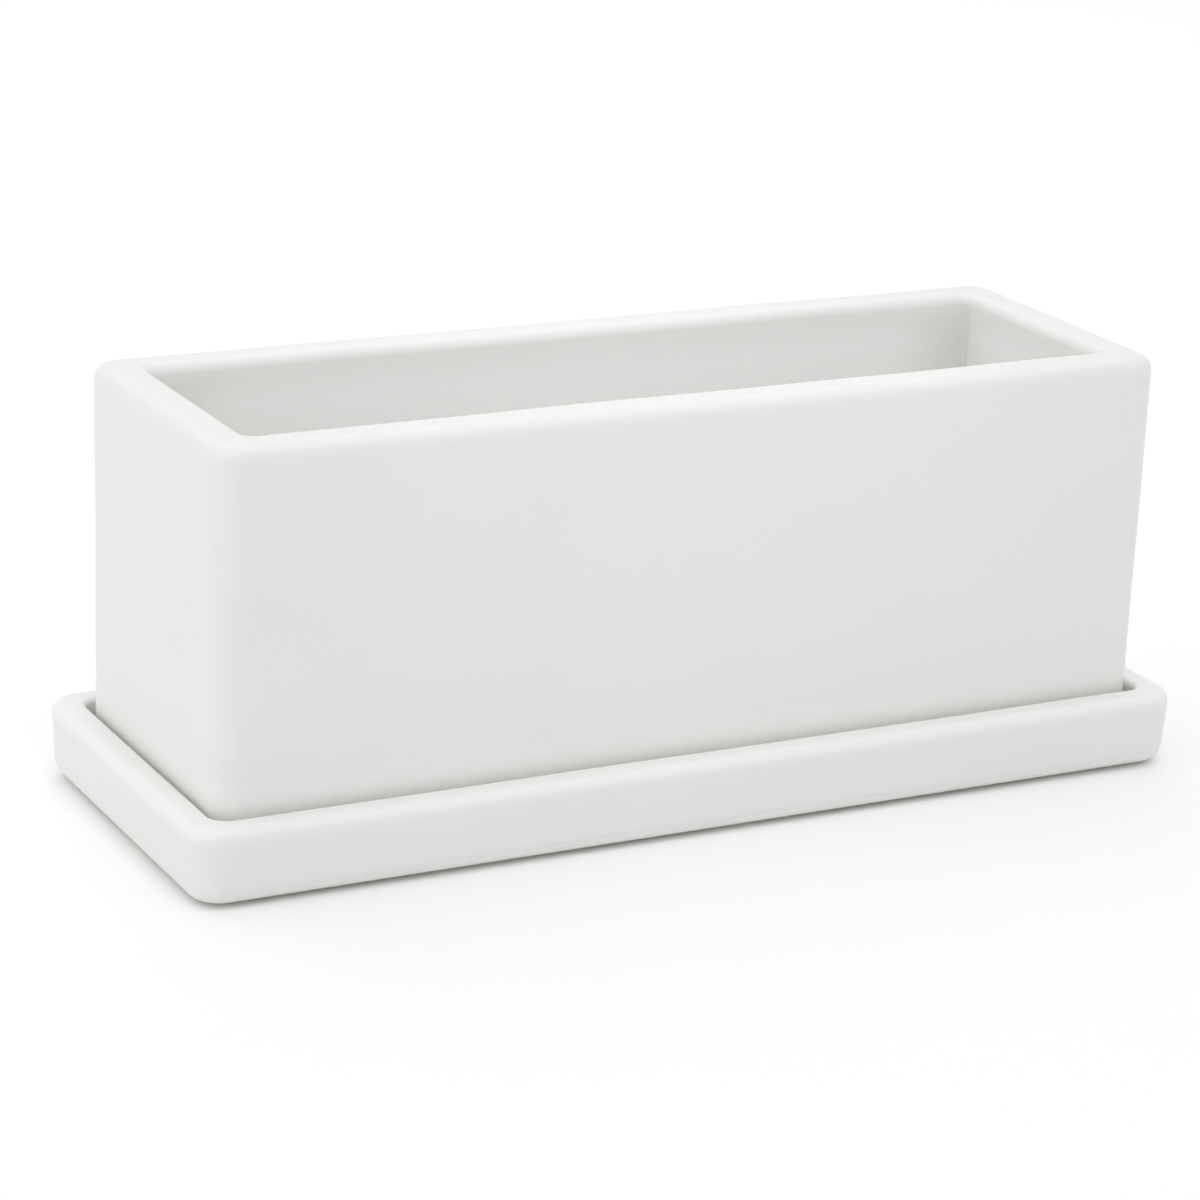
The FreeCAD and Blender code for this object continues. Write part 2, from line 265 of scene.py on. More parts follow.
class PadSettings(bpy.types.PropertyGroup):
    """Shape and finish of the rubber pads."""

    edge_round: length("Edge round", 0.0009, "Round on the lower edge of a pad")
    taper: length("Taper", 0.00015, "How much narrower a pad is at its foot")
    tone: tint("Rubber", (0.62, 0.62, 0.60), "Soft grey rubber")
    roughness: share("Roughness", 0.6, "Sheen of the rubber, from polished to matte")
    grain: length("Grain", 0.000008, "Height of the rubber's fine grain")


class GlazeSettings(bpy.types.PropertyGroup):
    """The white glaze and the clay under it."""

    white: tint("White", (0.772, 0.7645, 0.751), "Glaze on the plain walls")
    # Painted light: a lighter tone inside, where the vessel is in shade
    inner: tint("Inner", (0.874, 0.8695, 0.861), "Glaze inside, where it is poured thicker")
    # Painted light: a lighter tone low on the outer walls, where shade falls near the saucer
    foot_painted_light: tint("Thick", (0.865, 0.857, 0.843), "Glaze that ran down the walls and gathered towards the foot")
    # Painted light: a lighter tone over the rim, a painted highlight
    rim_painted_light: tint("Thin", (0.852, 0.8445, 0.832), "Glaze where it thins over the rim")
    # Painted shade: a darker tone in hollows and inner corners
    hollow_painted_shade: tint("Pooled", (0.765, 0.759, 0.747), "Glaze where it gathers in a hollow")
    drifted: tint("Drifted", (0.975, 0.975, 0.973), "What the tone is multiplied by where it drifts furthest")
    clay: tint("Clay", (0.72, 0.70, 0.66), "Bare fired clay of the foot")
    mottle: share("Mottle", 0.5, "How much the tone drifts over the walls")
    roughness: share("Roughness", 0.40, "Satin sheen of the glaze")
    peel: length("Peel", 0.000006, "Height of the fine ripple in the glaze")
    bare_height: length("Bare height", 0.0004, "How far up from the foot the glaze is wiped off")


class StageSettings(bpy.types.PropertyGroup):
    """Camera, floor and lights."""

    target: FloatVectorProperty(
        name="Target", description="Point that the camera looks at", default=(-0.00682, 0.00364, 0.05223),
        size=3, subtype="TRANSLATION", unit="LENGTH",
    )
    distance: length("Distance", 1.14905, "From the camera to its target")
    yaw: angle("Yaw", 28.14, "Turn to the right of straight ahead")
    pitch: angle("Pitch", 18.09, "Tilt downwards")
    roll: angle("Roll", 2.39, "Tilt of the horizon")
    lens: FloatProperty(name="Lens", description="Focal length", default=116.69, min=1.0, unit="CAMERA")
    floor_size: length("Floor size", 12.0, "Side of the square floor")
    floor_gap: length("Floor gap", 0.0001, "How far the floor lies below the pads, against flicker")
    floor_tint: tint("Floor", (0.958, 0.958, 0.958), "Pale matte floor")
    bounces: IntProperty(
        name="Bounces", description="How often light is passed on between pale surfaces", default=12, min=1
    )
    sky: strength("Sky", 0.815, "Even light from all round")
    zenith: strength("Zenith", 0.395, "How much brighter the sky is straight above")
    left: strength("Left", 7.0, "Large softbox low on the left, in watts")
    back: strength("Back", 4.6, "Large softbox behind and above, in watts")
    fill: strength("Fill", 0.038, "Narrow beam from above into the trough, in watts")


class PlanterSettings(bpy.types.PropertyGroup):
    """Everything that can be set on the planter."""

    pot: PointerProperty(type=PotSettings)
    saucer: PointerProperty(type=SaucerSettings)
    screens: PointerProperty(type=ScreenSettings)
    pads: PointerProperty(type=PadSettings)
    glaze: PointerProperty(type=GlazeSettings)
    stage: PointerProperty(type=StageSettings)


# Surfaces as grids of points


def quarter(steps=ARC_STEPS):
    """Angles of a quarter turn, from nothing to 90 degrees."""
    return np.linspace(0.0, math.pi / 2, steps + 1)


def patch(points, wrap=False, flip=False, keep=None):
    """A grid of points, rows by columns, with a quad in each cell, or only in the cells to keep.
    A quad goes along its row and then to the next row, and a wrapped row runs round to its start."""
    index = np.arange(points.shape[0] * points.shape[1]).reshape(points.shape[:2])
    beside = np.roll(index, -1, axis=1)
    if not wrap:
        index, beside = index[:, :-1], beside[:, :-1]
    quads = np.stack([index[:-1], beside[:-1], beside[1:], index[1:]], axis=-1)
    quads = quads.reshape(-1, 4) if keep is None else quads[keep]
    return points.reshape(-1, 3), quads[:, ::-1] if flip else quads


def stack(x, y, z):
    """Three arrays, spread to one shape, as points."""
    return np.stack(np.broadcast_arrays(x, y, z), axis=-1).astype(float)


def new_piece(name, patches, material):
    """One mesh from several patches, welded along their seams, smooth but for its sharp edges."""
    counts = [len(points) for points, _ in patches]
    starts = np.cumsum([0] + counts[:-1])
    points = np.concatenate([points for points, _ in patches])
    quads = np.concatenate([quads + start for (_, quads), start in zip(patches, starts)])
    mesh = bpy.data.meshes.new(name)
    mesh.from_pydata(points, [], quads.tolist())
    weld = bmesh.new()
    weld.from_mesh(mesh)
    bmesh.ops.remove_doubles(weld, verts=weld.verts, dist=MERGE_DISTANCE)
    bmesh.ops.recalc_face_normals(weld, faces=weld.faces)
    weld.to_mesh(mesh)
    weld.free()
    mesh.shade_smooth()
    mesh.set_sharp_from_angle(angle=SHARP_ANGLE)
    mesh.materials.append(material)
    piece = bpy.data.objects.new(name, mesh)
    bpy.context.scene.collection.objects.link(piece)
    return piece


def coordinates(mesh, normals=False):
    """A mesh's points, or the normals at them."""
    source = mesh.vertex_normals if normals else mesh.vertices
    found = np.empty(len(mesh.vertices) * 3, dtype=np.float32)
    source.foreach_get("vector" if normals else "co", found)
    return found.reshape(-1, 3).astype(float)


def store(mesh, name, numbers):
    """Keep a number for each point of a mesh, for its material to read."""
    mesh.attributes.new(name, "FLOAT", "POINT").data.foreach_set("value", numbers.astype(np.float32))


def bend_of(mesh, reach):
    """How much the surface bends at each point, from -1 in a hollow to 1 on an edge: the turn of the normal
    along each edge, over the edge's length, averaged over the edges at the point, times a reach."""
    points = coordinates(mesh)
    normals = coordinates(mesh, normals=True)
    ends = np.empty(len(mesh.edges) * 2, dtype=np.int32)
    mesh.edges.foreach_get("vertices", ends)
    first, second = ends.reshape(-1, 2).T
    run = points[second] - points[first]
    turn = normals[second] - normals[first]
    bend = (turn * run).sum(axis=1) / (run * run).sum(axis=1)
    total = np.bincount(first, bend, len(points)) + np.bincount(second, bend, len(points))
    count = np.bincount(first, minlength=len(points)) + np.bincount(second, minlength=len(points))
    return np.clip(total / np.maximum(count, 1) * reach, -1.0, 1.0)


# The two cast vessels


def wall_profile(sizes, height):
    """The wall in section, from the hollow underneath, round the outside and over the rim down to the floor:
    each row's inset from the outermost outline, its corner radius and its height above the foot.
    Straight runs are spaced evenly, and each rounding is a quarter circle around its own centre."""
    tilt = sizes.lean / height
    inner_tilt = sizes.inner_lean / (height - sizes.floor)
    foot = tilt * (height - sizes.rim_outer)
    ring = foot + sizes.base_round + sizes.land
    mouth = sizes.wall - tilt * sizes.rim_outer + inner_tilt * sizes.rim_inner
    drop = height - sizes.rim_inner - sizes.floor - sizes.cove
    inner_foot = mouth + inner_tilt * drop
    turn, back = quarter(), quarter()[::-1]
    soft = sizes.soft_edge
    run = np.linspace(0.0, 1.0, WALL_STEPS + 1)
    flat = np.linspace(0.0, 1.0, FLAT_STEPS + 1)
    climb = sizes.base_round + run * (height - sizes.rim_outer - sizes.base_round)
    fall = height - sizes.rim_inner - run * drop
    under = ring + soft * (1 - np.sin(turn))
    edge = ring - soft * (1 - np.cos(turn))
    base = foot + sizes.base_round * (1 - np.cos(back))
    outer = sizes.rim_outer * (1 - np.cos(turn))
    inner = mouth - sizes.rim_inner * (1 - np.cos(back))
    hollow = inner_foot + sizes.cove * (1 - np.cos(turn))
    land = edge[-1] + flat * (base[0] - edge[-1])
    land_corner = sizes.recess_corner + soft
    base_corner = sizes.corner - sizes.base_round
    top = outer[-1] + flat * (inner[0] - outer[-1])
    top_corner = sizes.corner - sizes.rim_outer
    mouth_corner = sizes.inner_corner + sizes.rim_inner
    sections = (
        (under, sizes.recess_corner + ring - under, sizes.recess - soft * (1 - np.cos(turn))),
        (edge, sizes.recess_corner + ring - edge, soft * (1 - np.sin(turn))),
        (land, land_corner + flat * (base_corner - land_corner), flat * 0),
        (base, sizes.corner + foot - base, sizes.base_round * (1 - np.sin(back))),
        (tilt * (climb[-1] - climb), run * 0 + sizes.corner, climb),
        (outer, sizes.corner - outer, height - sizes.rim_outer * (1 - np.sin(turn))),
        (top, top_corner + flat * (mouth_corner - top_corner), flat * 0 + height),
        (inner, sizes.inner_corner + mouth - inner, height - sizes.rim_inner * (1 - np.sin(back))),
        (mouth + inner_tilt * (fall[0] - fall), run * 0 + sizes.inner_corner, fall),
        (hollow, sizes.inner_corner + inner_foot - hollow, sizes.floor + sizes.cove * (1 - np.sin(turn))),
    )
    return [np.concatenate(column)[:, None] for column in zip(*sections)]


def outline_samples(x_lines, y_lines):
    """Where the points of an outline lie, counter-clockwise from the right-hand side: each one's turn around
    its centre, and the centre as keep + free * (half length - radius). Points on the lines keep their place,
    those between the last line and a corner spread evenly, and along a corner only the turn changes."""
    spread = np.linspace(0.0, 1.0, BRIDGE_STEPS + 1)[1:]
    samples = []
    for side, (lines, way) in enumerate(((y_lines, 1), (x_lines, -1), (y_lines, -1), (x_lines, 1))):
        turn = side * math.pi / 2
        lines = lines * way
        start, end = lines[0], lines[-1]
        keep = np.concatenate([(1 - spread[::-1]) * start, lines, (1 - spread) * end])
        free = np.concatenate([spread[::-1] * np.sign(start), lines * 0, spread * np.sign(end)])
        across = np.full(len(keep), 1.0 if side < 2 else -1.0)
        none = np.zeros(len(keep))
        straight = (none, across, keep, free) if side % 2 == 0 else (keep, free, none, across)
        samples.append(np.stack([none + turn, *straight]))
        turns = turn + quarter(CORNER_STEPS)[1:-1]
        sign_x = np.full(len(turns), 1.0 if side in (0, 3) else -1.0)
        sign_y = np.full(len(turns), 1.0 if side < 2 else -1.0)
        samples.append(np.stack([turns, sign_x * 0, sign_x, sign_y * 0, sign_y]))
    return np.concatenate(samples, axis=1)


def outline(samples, half_x, half_y, radius):
    """Rounded rectangles, one row for each half length, half width and radius:
    x = keep + free * (half length - radius) + radius * cos(turn), and y alike with the sine."""
    turn, keep_x, free_x, keep_y, free_y = samples
    x = keep_x + free_x * (half_x - radius) + radius * np.cos(turn)
    y = keep_y + free_y * (half_y - radius) + radius * np.sin(turn)
    return x, y


def line_places(reach, marks):
    """Even places from -reach to reach, with others marked, none much closer together than the rest need."""
    count = 2 * round(reach / LINE_SPACING)
    even = np.linspace(-reach, reach, count + 1)
    nearest = np.abs(even[:, None] - np.append(marks, np.inf)[None, :]).min(axis=1)
    kept = (nearest > LINE_SPACING / 3) | (np.abs(even) == reach)
    return np.unique(np.round(np.concatenate([even[kept], marks]), PLACE_DECIMALS))


def smooth_step(t):
    """0 up to 0, 1 from 1, and 3t^2 - 2t^3 between them."""
    t = np.clip(t, 0.0, 1.0)
    return t * t * (3 - 2 * t)


def plateau(distance, width, slope):
    """1 within the width, 0 outside it, and a smooth step over the slope between them."""
    return smooth_step((width / 2 - np.abs(distance)) / slope + 0.5)


def swayed(points, half_x, half_y, foot, height, sway):
    """Points drawn in a little, more towards the rim, by long waves: x, y and z shrink by their share of the
    sway times (1 + wave) / 2. A wave adds up strength * sin(a across + b along + c up + start) over its rows
    and stays between -1 and 1, so nothing leaves its box, and the foot stays true."""
    x, y, z = points.T
    up = np.clip((z - foot) / height, 0.0, 1.0)
    across, along = x / half_x, y / half_y
    shifts = []
    for part, rows in zip((across * up, along * up, up ** 3), WAVES):
        wave = sum(size * np.sin(a * across + b * along + c * up + start) for size, a, b, c, start in rows)
        shifts.append(part * sway * (1 + wave) / 2)
    return points - np.stack(shifts, axis=-1)


def notched(x, y, z, sizes, end):
    """The foot ring's points lifted into its notches: z is at least the notch's height times a plateau,
    across the long sides at the notch's inset from each end, and across the ends at their middle."""
    slope = sizes.notch_height * NOTCH_SLOPE
    on_side = plateau(np.abs(x) - (end - sizes.notch_inset), sizes.notch_width, slope)
    on_end = plateau(y, sizes.notch_width, slope) * (np.abs(x) > end / 2)
    return np.maximum(z, sizes.notch_height * np.maximum(on_side, on_end))


def square_loop(x_lines, y_lines):
    """Points round a square, counter-clockwise from its first corner, where the lines meet it."""
    there, back = x_lines[:-1], x_lines[:0:-1]
    up, down = y_lines[:-1], y_lines[:0:-1]
    x = np.concatenate([there, up * 0 + x_lines[-1], back, down * 0 + x_lines[0]])
    y = np.concatenate([there * 0 + y_lines[0], up, back * 0 + y_lines[-1], down])
    return x, y


def drain_tube(sizes, x_lines, y_lines, centre, foot):
    """A drain hole as a surface around its axis: from a square in the floor to the hole's rim, over a
    quarter-round lip, down the bore, over a smaller lip and out to a square in the underside."""
    radius, lip, lower = sizes.drain_hole / 2, sizes.drain_lip, sizes.drain_lip / 2
    turn, back = quarter(), quarter()[::-1]
    top, bottom = foot + sizes.floor, foot + sizes.recess
    x, y = square_loop(x_lines, y_lines)
    around = np.arctan2(y, x)
    wide = np.concatenate([radius + lip * (1 - np.sin(turn)), radius + lower * (1 - np.sin(back))])[:, None]
    level = np.concatenate([top - lip * (1 - np.cos(turn)), bottom + lower * (1 - np.cos(back))])[:, None]
    rows_x = np.concatenate([x[None], wide * np.cos(around), x[None]])
    rows_y = np.concatenate([y[None], wide * np.sin(around), y[None]])
    rows_z = np.concatenate([[[top]], level, [[bottom]]])
    return patch(stack(centre + rows_x, rows_y, rows_z), wrap=True)


def floor_patch(x_lines, y_lines, level, holes, side, flip):
    """A flat grid over the lines at one level, open over a square around each hole."""
    points = stack(x_lines[None, :], y_lines[:, None], level)
    middle_x = (x_lines[1:] + x_lines[:-1]) / 2
    middle_y = (y_lines[1:] + y_lines[:-1]) / 2
    keep = np.ones((len(middle_y), len(middle_x)), dtype=bool)
    for centre in holes:
        keep &= ~((np.abs(middle_x - centre) < side)[None, :] & (np.abs(middle_y) < side)[:, None])
    return patch(points, flip=flip, keep=keep)


def store_glaze_places(mesh, sizes, low, high):
    """Keep, for each point, what the glaze material needs: the bend, the height above the foot, and four
    shares: how near the rim it is, how far inside, how far into a corner of a long inner wall, and how low on
    an outer wall. They place the painted light of the rim, the inside and the walls' foot, and the painted
    shade of hollows and corners."""
    x, y, z = coordinates(mesh).T
    above, below = z - low.z, high.z - z
    depth_in = np.minimum(high.x - np.abs(x), high.y - np.abs(y))
    is_inside = (depth_in > sizes.wall / 2) & (above > sizes.floor / 2)
    # Painted light: 1 low on the walls, fading to 0 higher up
    foot_painted_light_mask = smooth_step((sizes.foot_light_top - above) / sizes.foot_light_fade)
    from_end = high.x - sizes.wall - np.abs(x)
    on_long_wall = is_inside & (high.y - np.abs(y) < sizes.wall + sizes.cove)
    # Painted shade: 1 in the corners of a long inner wall, falling off along it and below the rim
    in_corner = smooth_step(1.0 - from_end / sizes.corner_shade_reach) * smooth_step(below / sizes.rim_inner - 1.0)
    store(mesh, "bend", bend_of(mesh, sizes.rim_inner))
    store(mesh, "in_corner", in_corner * on_long_wall)
    store(mesh, "above_foot", above)
    # Painted light: the share of the lighter rim tone, near the rim
    store(mesh, "near_rim", smooth_step(1.0 - below / (sizes.rim_outer + sizes.rim_inner)) * sizes.rim_light_share)
    # Painted light: the share of the lighter inner tone, growing deeper below the rim
    store(mesh, "inside", np.clip(below / sizes.wall, 0.0, 1.0) * is_inside * sizes.inner_painted_light)
    store(mesh, "foot_painted_light_mask", foot_painted_light_mask * sizes.foot_light_share * ~is_inside)


def cast_vessel(name, sizes, material, holes=(), hole_lines=None, notches=False):
    """A vessel: its wall's profile carried round a rounded rectangle, and flat grids for floor and underside.
    The profile's first and last rows are drawn in to the grids' edges, so that the seams meet."""
    low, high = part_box(name)
    foot, height = low.z, high.z - low.z
    inset, radius, level = wall_profile(sizes, height)
    half_x, half_y = high.x - inset, high.y - inset
    reach_x = float((half_x - radius).min()) - sizes.soft_edge
    reach_y = float((half_y - radius).min()) - sizes.soft_edge
    marks_x, marks_y = np.zeros(0), np.zeros(0)
    if notches:
        steps = sizes.notch_width / 2 + np.linspace(-0.5, 0.5, NOTCH_LINES) * sizes.notch_height
        marks_y = np.concatenate([-steps, steps])
        centre = high.x - sizes.notch_inset
        marks_x = np.concatenate([sign * centre + marks_y for sign in (-1, 1)])
    if len(holes):
        marks_x = np.concatenate([marks_x] + [centre + hole_lines for centre in holes])
        marks_y = np.concatenate([marks_y, hole_lines])
    x_lines, y_lines = line_places(reach_x, marks_x), line_places(reach_y, marks_y)
    x, y = outline(outline_samples(x_lines, y_lines), half_x, half_y, radius)
    if notches:
        level = notched(x, y, level, sizes, high.x)
    rows = stack(x, y, foot + level)
    limit = np.array([reach_x, reach_y, high.z])
    first, last = np.clip(rows[:1], -limit, limit), np.clip(rows[-1:], -limit, limit)
    side = hole_lines[-1] if len(holes) else 0.0
    patches = [
        patch(np.concatenate([first, rows, last]), wrap=True),
        floor_patch(x_lines, y_lines, foot + sizes.floor, holes, side, flip=False),
        floor_patch(x_lines, y_lines, foot + sizes.recess, holes, side, flip=True),
    ]
    for centre in holes:
        near_x = x_lines[np.abs(x_lines - centre) < side + MERGE_DISTANCE] - centre
        near_y = y_lines[np.abs(y_lines) < side + MERGE_DISTANCE]
        patches.append(drain_tube(sizes, near_x, near_y, centre, foot))
    patches = [
        (swayed(points, high.x, high.y, foot, height, sizes.sway), quads) for points, quads in patches
    ]
    piece = new_piece(f"{name}_glazed", patches, material)
    store_glaze_places(piece.data, sizes, low, high)
    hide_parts(name)
    return piece


# The mesh screens


def screen_openings(sizes, radius):
    """Centres of the square openings that fit whole inside the rim."""
    pitch = sizes.opening + sizes.strand
    reach = radius - sizes.rim
    count = int(reach / pitch)
    steps = np.arange(-count, count + 1) * pitch
    x, y = (axis.ravel() for axis in np.meshgrid(steps, steps))
    fits = np.hypot(np.abs(x) + sizes.opening / 2, np.abs(y) + sizes.opening / 2) <= reach
    return np.stack([x[fits], y[fits]], axis=-1)


def strand_tiles(sizes, centres, half):
    """The strands around every opening: a square tile whose edge is the strands' middle line, drawn in to the
    opening's outline, a superellipse. From the middle line the strand's section falls away as another
    superellipse, share = cos(t)^(2/n) and height = sin(t)^(2/n), for t from 90 to -90 degrees."""
    around = np.linspace(-math.pi, math.pi, TILE_STEPS, endpoint=False)[None, :]
    fall = np.linspace(math.pi / 2, -math.pi / 2, STRAND_STEPS + 1)[:, None]
    power = 2 / sizes.squareness
    towards = np.abs(np.cos(fall)) ** power * (np.abs(np.sin(fall)) < NEARLY_ONE)
    height = half * np.sign(np.sin(fall)) * np.abs(np.sin(fall)) ** power
    cosine, sine = np.abs(np.cos(around)), np.abs(np.sin(around))
    edge = (sizes.opening + sizes.strand) / 2 / np.maximum(cosine, sine)
    opening = sizes.opening / 2 / (cosine ** OPENING_POWER + sine ** OPENING_POWER) ** (1 / OPENING_POWER)
    reach = edge + (opening - edge) * towards
    tile = stack(reach * np.cos(around), reach * np.sin(around), height)
    return [patch(tile + place, wrap=True) for place in np.pad(centres, ((0, 0), (0, 1)))]


def open_sides(sizes, centres):
    """Points on the tiles' sides that have no neighbour, in order around the middle."""
    pitch = sizes.opening + sizes.strand
    along = np.tan(np.linspace(-math.pi / 4, math.pi / 4, TILE_STEPS // 4 + 1)) * pitch / 2
    across = along * 0 + pitch / 2
    points = []
    for out_x, out_y in ((1, 0), (0, 1), (-1, 0), (0, -1)):
        beyond = centres + np.array([out_x, out_y]) * pitch
        alone = np.abs(beyond[:, None] - centres[None]).max(axis=-1).min(axis=1) > pitch / 2
        side = np.stack([out_x * across - out_y * along, out_y * across + out_x * along], axis=-1)
        points.append((centres[alone][:, None] + side[None]).reshape(-1, 2))
    points = np.unique(np.round(np.concatenate(points), TILE_DECIMALS), axis=0)
    return points[np.argsort(np.arctan2(points[:, 1], points[:, 0]))]


def screen_rim(sizes, loop, radius, half):
    """The plain edge: from the outermost strands out to a round rim, over its rounded edge and back below.
    Each row lies between the loop and a circle, at the loop's own angles."""
    soft = sizes.edge_round
    around = np.arctan2(loop[:, 1], loop[:, 0])[None, :]
    start = np.hypot(loop[:, 0], loop[:, 1])[None, :]
    turn = quarter(SCREEN_RIM_STEPS)[:, None]
    flat = np.linspace(0.0, 1.0, SCREEN_RIM_STEPS)[:-1, None]
    out = start + (radius - soft - start) * flat
    over = radius - soft + soft * np.sin(turn) + 0 * start
    reach = np.concatenate([out, over, over[::-1], out[::-1]])
    down = half - soft * (1 - np.cos(turn))
    level = np.concatenate([flat * 0 + half, down, -down[::-1], flat * 0 - half])
    return patch(stack(reach * np.cos(around), reach * np.sin(around), level), wrap=True, flip=True)


def make_screen(name, sizes, material):
    """A moulded mesh disc, its strands rounded and its rim plain, over one drain hole."""
    low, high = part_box(name)
    low.z += sizes.seat_gap
    centre = np.array((low + high) / 2)
    radius, half = (high.x - low.x) / 2, (high.z - low.z) / 2
    centres = screen_openings(sizes, radius)
    patches = strand_tiles(sizes, centres, half)
    patches.append(screen_rim(sizes, open_sides(sizes, centres), radius, half))
    patches = [(points + centre, quads) for points, quads in patches]
    piece = new_piece(f"{name}_mesh", patches, material)
    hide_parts(name)
    return piece


# The rubber pads


def make_pad(name, sizes, material):
    """A rubber pad turned around its axis: a flat sole, a quarter-round edge and a side that widens upwards.
    It closes in a point at the middle of its sole and of its top."""
    low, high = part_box(name)
    centre = (low + high) / 2
    radius, soft = (high.x - low.x) / 2, sizes.edge_round
    turn = quarter(PAD_EDGE_STEPS)
    sole = np.linspace(0.0, radius - sizes.taper - soft, SOLE_STEPS + 1)
    edge = radius - sizes.taper - soft * (1 - np.sin(turn))
    reach = np.concatenate([sole, edge, [radius, radius - soft, 0.0]])[:, None]
    rise = low.z + soft * (1 - np.cos(turn))
    level = np.concatenate([sole * 0 + low.z, rise, [high.z, high.z, high.z]])[:, None]
    around = np.linspace(0.0, 2 * math.pi, ROUND_STEPS, endpoint=False)[None, :]
    points = stack(centre.x + reach * np.cos(around), centre.y + reach * np.sin(around), level)
    piece = new_piece(f"{name}_rubber", [patch(points, wrap=True)], material)
    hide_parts(name)
    return piece


# Materials


def new_material(name):
    """A material with a node tree, and its shader."""
    material = bpy.data.materials.new(name)
    material.use_nodes = True
    return material, material.node_tree.nodes["Principled BSDF"]


def add_node(tree, kind, inputs=(), **settings):
    """A node with its properties set and its inputs linked, where they are sockets, or filled in."""
    node = tree.nodes.new(kind)
    for key, setting in settings.items():
        setattr(node, key, setting)
    for key, source in dict(inputs).items():
        if isinstance(source, bpy.types.NodeSocket):
            tree.links.new(source, node.inputs[key])
        else:
            node.inputs[key].default_value = source
    return node


def add_math(tree, operation, first, second):
    """A sum, product or the like of two values."""
    return add_node(tree, "ShaderNodeMath", {0: first, 1: second}, operation=operation).outputs[0]


def add_mix(tree, factor, first, second, blend="MIX", kind="RGBA"):
    """A colour or a value between two others, or the first colour multiplied by the second."""
    factor_input, first_input, second_input, result = MIX_SOCKETS[kind]
    inputs = {factor_input: factor, first_input: first, second_input: second}
    return add_node(tree, "ShaderNodeMix", inputs, data_type=kind, blend_type=blend).outputs[result]


def add_range(tree, source, start, end, low=0.0, high=1.0):
    """A value spread from one range to another, smoothly at both ends."""
    inputs = {"Value": source, "From Min": start, "From Max": end, "To Min": low, "To Max": high}
    return add_node(tree, "ShaderNodeMapRange", inputs, interpolation_type="SMOOTHSTEP").outputs[0]


def add_noise(tree, place, scale, settings=()):
    """Noise at a place, so many times per metre."""
    inputs = {"Vector": place, "Scale": scale, **dict(settings)}
    return add_node(tree, "ShaderNodeTexNoise", inputs).outputs[0]


def add_reading(tree, name):
    """What the mesh keeps for its points under a name."""
    return add_node(tree, "ShaderNodeAttribute", attribute_name=name).outputs["Fac"]


def colour(values, light=1.0):
    """A colour with full opacity, as light as it is or darker."""
    return (*(light * value for value in values), 1.0)


def variation_group():
    """Shared unevenness of a fired or moulded surface: a slow drift of tone and a fine ripple."""
    group = bpy.data.node_groups.new("surface_variation", "ShaderNodeTree")
    sockets = group.interface
    sockets.new_socket("Position", in_out="INPUT", socket_type="NodeSocketVector")
    sockets.new_socket("Drift Scale", in_out="INPUT", socket_type="NodeSocketFloat")
    sockets.new_socket("Ripple Scale", in_out="INPUT", socket_type="NodeSocketFloat")
    for name in ("Drift", "Fleck", "Ripple"):
        sockets.new_socket(name, in_out="OUTPUT", socket_type="NodeSocketFloat")
    start = add_node(group, "NodeGroupInput").outputs
    drift = add_noise(group, start["Position"], start["Drift Scale"], DRIFT_NOISE)
    ripple = add_noise(group, start["Position"], start["Ripple Scale"], RIPPLE_NOISE)
    fleck_scale = add_math(group, "MULTIPLY", start["Ripple Scale"], FLECK_SCALE)
    fleck = add_noise(group, start["Position"], fleck_scale)
    results = {
        "Drift": add_range(group, drift, *DRIFT_RANGE),
        "Fleck": add_range(group, fleck, *FLECK_RANGE),
        "Ripple": ripple,
    }
    add_node(group, "NodeGroupOutput", results)
    return group


def add_variation(tree, scales):
    """The shared unevenness, read at the piece's own coordinates."""
    group = bpy.data.node_groups.get("surface_variation") or variation_group()
    place = add_node(tree, "ShaderNodeTexCoord").outputs["Object"]
    node = add_node(tree, "ShaderNodeGroup", node_tree=group)
    tree.links.new(place, node.inputs["Position"])
    node.inputs["Drift Scale"].default_value, node.inputs["Ripple Scale"].default_value = scales
    return node.outputs


def add_bump(tree, height, distance):
    """A bump of so many metres."""
    return add_node(tree, "ShaderNodeBump", {"Height": height, "Distance": distance}).outputs[0]


